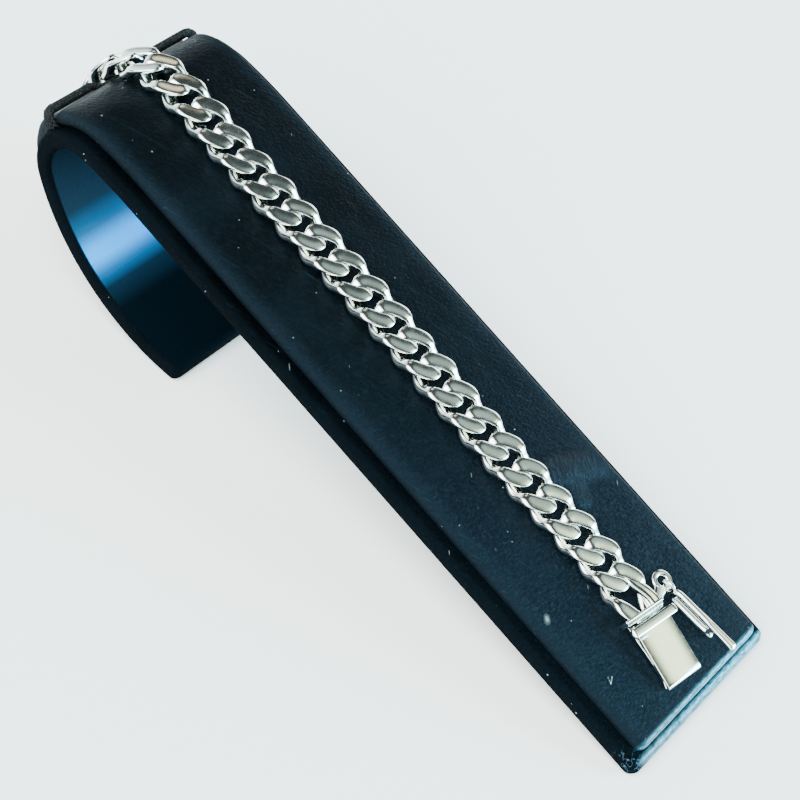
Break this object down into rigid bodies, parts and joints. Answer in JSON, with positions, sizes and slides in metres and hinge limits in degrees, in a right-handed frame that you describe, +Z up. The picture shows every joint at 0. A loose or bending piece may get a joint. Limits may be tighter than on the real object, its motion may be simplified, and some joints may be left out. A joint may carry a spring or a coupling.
{
  "type": "cuban link bracelet on a display stand",
  "caption": "Curb link bracelet with a folded clasp tongue and a hinged safety catch, laid unfastened down a padded display ramp with a curled back leg.",
  "frame": {"origin": "on the floor, in the middle of the footprint between the ramp's front edge and the chain hanging behind the crest", "axes": "+X down the ramp to its front edge, +Y across to the side of the safety catch, +Z up"},
  "size_m": [0.1826, 0.0466, 0.0535],
  "materials": {
    "silver": "polished silver",
    "stand_cover": "satin leatherette",
    "pad_cover": "soft leatherette with fine wrinkles",
    "elastic": "braided elastic"
  },
  "bodies": {
    "stand_and_chain": {"stand_base": "stand_cover", "stand_pad": "pad_cover", "elastic_band": "elastic", "link_01": "silver", "link_02": "silver", "link_03": "silver", "link_04": "silver", "link_05": "silver", "link_06": "silver", "link_07": "silver", "link_08": "silver", "link_09": "silver", "link_10": "silver", "link_11": "silver", "link_12": "silver", "link_13": "silver", "link_14": "silver", "link_15": "silver", "link_16": "silver", "link_17": "silver", "link_18": "silver", "link_19": "silver", "link_20": "silver", "link_21": "silver", "link_22": "silver", "link_23": "silver", "link_24": "silver", "clasp_tongue": "silver", "clasp_box": "silver"},
    "catch": {"safety_catch": "silver"}
  },
  "joints": [
    {"name": "catch_hinge", "type": "hinge", "parent": "stand_and_chain", "child": "catch", "pos_m": [0.07114, 0.0085, 0.0143], "axis": [0.0735, -0.9971, -0.0197], "range_deg": [0, 130]}
  ]
}
